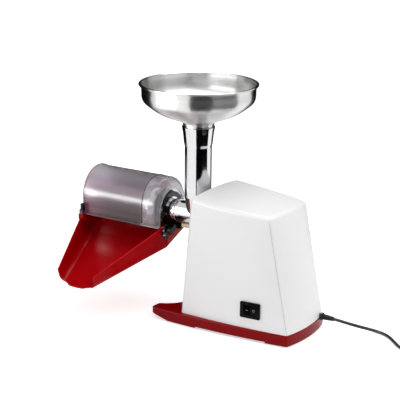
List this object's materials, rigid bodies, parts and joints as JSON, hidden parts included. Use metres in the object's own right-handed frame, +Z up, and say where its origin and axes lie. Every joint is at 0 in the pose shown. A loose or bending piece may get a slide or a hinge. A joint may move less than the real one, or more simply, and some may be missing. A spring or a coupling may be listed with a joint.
{
  "type": "electric tomato strainer",
  "caption": "Electric machine that presses tomatoes from a funnel through a covered conical strainer, puree running down a tray and skins leaving at the end",
  "frame": {"origin": "On the floor, under the axis of the upright feed neck and the funnel, on the underside of the front rubber strip, half way across the machine", "axes": "+Z up along the funnel's axis, +X along the feed screw's axis towards the motor, +Y to the machine's far side; the chute's spout points to -Y"},
  "size_m": [0.838, 0.3033, 0.441],
  "materials": {
    "housing_white": "satin",
    "gloss_red": "gloss",
    "brushed_stainless": "brushed",
    "polished_stainless": "polished",
    "smoked_cover": "frosted",
    "black_plastic": "satin",
    "black_gloss": "gloss",
    "cream_paint": "satin",
    "cast_aluminium": "cast",
    "steel": "machined",
    "zinc_screw": "plated",
    "copper_winding": "enamelled",
    "bronze": "sintered",
    "rubber_black": "matte",
    "rubber_white": "matte",
    "nylon_white": "moulded",
    "nylon_gear": "moulded",
    "capacitor_can": "drawn",
    "plug_brass": "plated"
  },
  "bodies": {
    "machine": {"base_tray": "gloss_red", "capacitor_clip": "zinc_screw", "chute_arm": "cream_paint", "chute_clip": "black_gloss", "clamp_nut": "zinc_screw", "cord": "rubber_black", "cord_coil": "rubber_black", "cord_tail": "rubber_black", "cradle_screws": "zinc_screw", "feed_body": "polished_stainless", "feed_flange_screws": "zinc_screw", "foot_screws": "zinc_screw", "front_collar": "rubber_black", "front_shield": "cast_aluminium", "gearbox_case": "cast_aluminium", "gearbox_lid": "cast_aluminium", "gearbox_screws": "zinc_screw", "housing_screws": "zinc_screw", "housing_shell": "housing_white", "motor_bearings": "steel", "motor_cradle": "steel", "output_bushes": "bronze", "plug_body": "rubber_black", "plug_pins": "plug_brass", "rear_shield": "cast_aluminium", "rubber_feet": "rubber_black", "run_capacitor": "capacitor_can", "shaft_seal": "rubber_white", "stator_core": "steel", "stator_windings": "copper_winding", "strain_relief": "rubber_black", "switch_body": "black_gloss", "terminal_block": "nylon_white", "through_bolts": "zinc_screw"},
    "rotor": {"rotor_core": "steel", "motor_shaft": "steel", "cooling_fan": "black_plastic", "motor_pinion": "steel"},
    "idler": {"idler_gear": "nylon_gear", "idler_pinion": "steel"},
    "output": {"output_gear": "steel", "output_shaft": "steel"},
    "screw": {"feed_screw": "nylon_white"},
    "filter_head": {"filter_cup": "polished_stainless", "filter_cone": "polished_stainless", "outlet_sleeve": "polished_stainless", "filter_gasket": "rubber_white"},
    "clamp_ring": {"ring_nut": "black_gloss"},
    "guard": {"splash_guard": "smoked_cover"},
    "front_knob": {"guard_knob_front": "black_plastic"},
    "rear_knob": {"guard_knob_rear": "black_plastic"},
    "chute": {"drip_chute": "gloss_red"},
    "wing": {"wing_screw": "black_gloss"},
    "funnel": {"hopper": "brushed_stainless"},
    "rocker": {"switch_rocker": "black_gloss"}
  },
  "joints": [
    {"name": "motor_spin", "type": "hinge", "parent": "machine", "child": "rotor", "pos_m": [0, 0, 0.1227], "axis": [1, 0, 0], "continuous": true},
    {"name": "idler_spin", "type": "hinge", "parent": "machine", "child": "idler", "pos_m": [0, 0, 0.1527], "axis": [1, 0, 0], "continuous": true},
    {"name": "output_spin", "type": "hinge", "parent": "machine", "child": "output", "pos_m": [0, 0, 0.1912], "axis": [1, 0, 0], "continuous": true},
    {"name": "filter_pull", "type": "slide", "parent": "machine", "child": "filter_head", "axis": [-1, 0, 0], "range_m": [0, 0.2]},
    {"name": "screw_pull", "type": "slide", "parent": "output", "child": "screw", "axis": [-1, 0, 0], "range_m": [0, 0.2]},
    {"name": "ring_nut_turn", "type": "hinge", "parent": "filter_head", "child": "clamp_ring", "pos_m": [-0.066, 0, 0.1912], "axis": [1, 0, 0], "range_deg": [0, 360]},
    {"name": "guard_lift", "type": "slide", "parent": "machine", "child": "guard", "axis": [0, 0, 1], "range_m": [0, 0.1]},
    {"name": "guard_knob_front_turn", "type": "hinge", "parent": "guard", "child": "front_knob", "pos_m": [-0.229, -0.0564, 0.17], "axis": [0, 0, 1], "range_deg": [0, 360]},
    {"name": "guard_knob_rear_turn", "type": "hinge", "parent": "guard", "child": "rear_knob", "pos_m": [-0.229, 0.0564, 0.17], "axis": [0, 0, 1], "range_deg": [0, 360]},
    {"name": "chute_drop", "type": "slide", "parent": "machine", "child": "chute", "axis": [0, 0, -1], "range_m": [0, 0.06]},
    {"name": "wing_screw_turn", "type": "hinge", "parent": "machine", "child": "wing", "pos_m": [-0.038, -0.038, 0.16], "axis": [1, 0, 0], "range_deg": [0, 360]},
    {"name": "hopper_lift", "type": "slide", "parent": "machine", "child": "funnel", "axis": [0, 0, 1], "range_m": [0, 0.12]},
    {"name": "switch_rock", "type": "hinge", "parent": "machine", "child": "rocker", "pos_m": [0.16233, -0.07425, 0.0585], "axis": [0, 0, -1], "range_deg": [0, 18]}
  ],
  "couplings": [
    {"joint": "idler_spin", "follows": "motor_spin", "ratio": -0.2},
    {"joint": "output_spin", "follows": "motor_spin", "ratio": 0.066667},
    {"joint": "screw_pull", "follows": "filter_pull", "ratio": 1}
  ]
}
